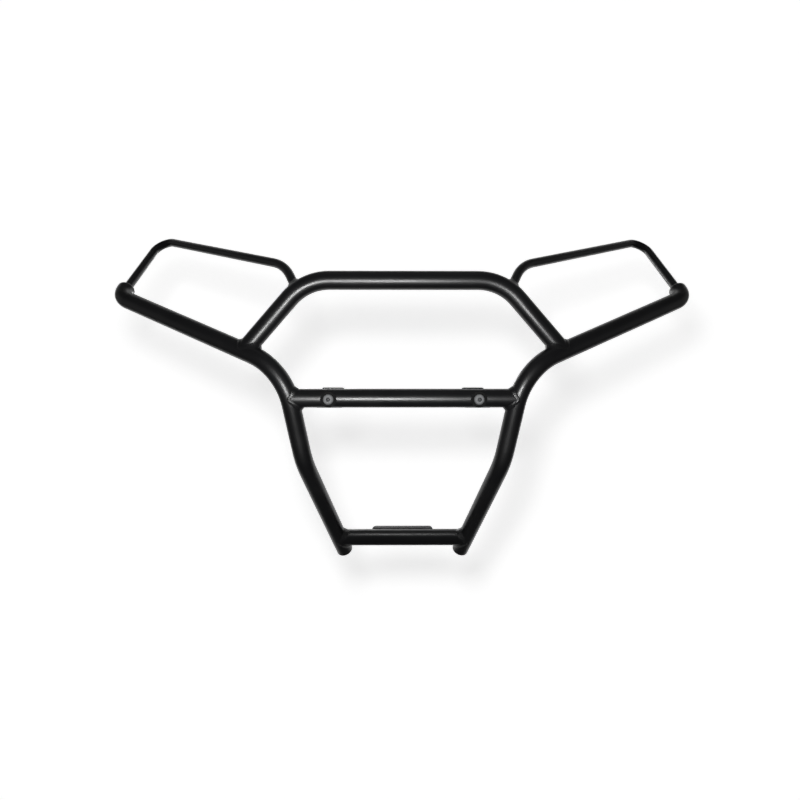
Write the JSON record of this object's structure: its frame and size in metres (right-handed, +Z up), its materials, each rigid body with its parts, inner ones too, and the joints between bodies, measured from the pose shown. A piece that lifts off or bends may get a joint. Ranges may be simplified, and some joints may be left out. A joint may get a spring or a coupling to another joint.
{
  "type": "front grille guard",
  "caption": "Welded tubular front grille guard for a compact off-road vehicle, with headlight loops, bolt-on upper brackets and a lower mount angle.",
  "frame": {"origin": "midway between the two vehicle bolt holes of the upper brackets, on the brackets' rear faces", "axes": "+X to the right seen from the front (widest extent), +Y rearwards, towards the vehicle, +Z up; the front faces -Y"},
  "size_m": [1.3076, 0.3302, 0.7758],
  "materials": {
    "powder_coat": "satin black powder coat",
    "zinc_steel": "zinc-plated, dull",
    "black_washer": "matt black",
    "black_plastic": "moulded, matt"
  },
  "bodies": {
    "root": {"left_bracket_bolt": "zinc_steel", "left_crush_sleeve": "zinc_steel", "left_flat_washer": "zinc_steel", "left_foot_plug": "black_plastic", "left_front_saddle_washer": "black_washer", "left_headlight_loop": "powder_coat", "left_hoop_weld": "powder_coat", "left_lock_nut": "zinc_steel", "left_loop_cap_weld": "powder_coat", "left_loop_hoop_weld": "powder_coat", "left_lower_cross_weld": "powder_coat", "left_middle_cross_weld": "powder_coat", "left_rear_saddle_washer": "black_washer", "left_side_tube": "powder_coat", "left_upper_bracket": "powder_coat", "left_wing_end_cap": "powder_coat", "lower_angle_welds": "powder_coat", "lower_cross_tube": "powder_coat", "lower_mount_angle": "powder_coat", "middle_cross_tube": "powder_coat", "right_bracket_bolt": "zinc_steel", "right_crush_sleeve": "zinc_steel", "right_flat_washer": "zinc_steel", "right_foot_plug": "black_plastic", "right_front_saddle_washer": "black_washer", "right_headlight_loop": "powder_coat", "right_hoop_weld": "powder_coat", "right_lock_nut": "zinc_steel", "right_loop_cap_weld": "powder_coat", "right_loop_hoop_weld": "powder_coat", "right_lower_cross_weld": "powder_coat", "right_middle_cross_weld": "powder_coat", "right_rear_saddle_washer": "black_washer", "right_side_tube": "powder_coat", "right_upper_bracket": "powder_coat", "right_wing_end_cap": "powder_coat", "top_hoop_tube": "powder_coat"}
  },
  "joints": []
}
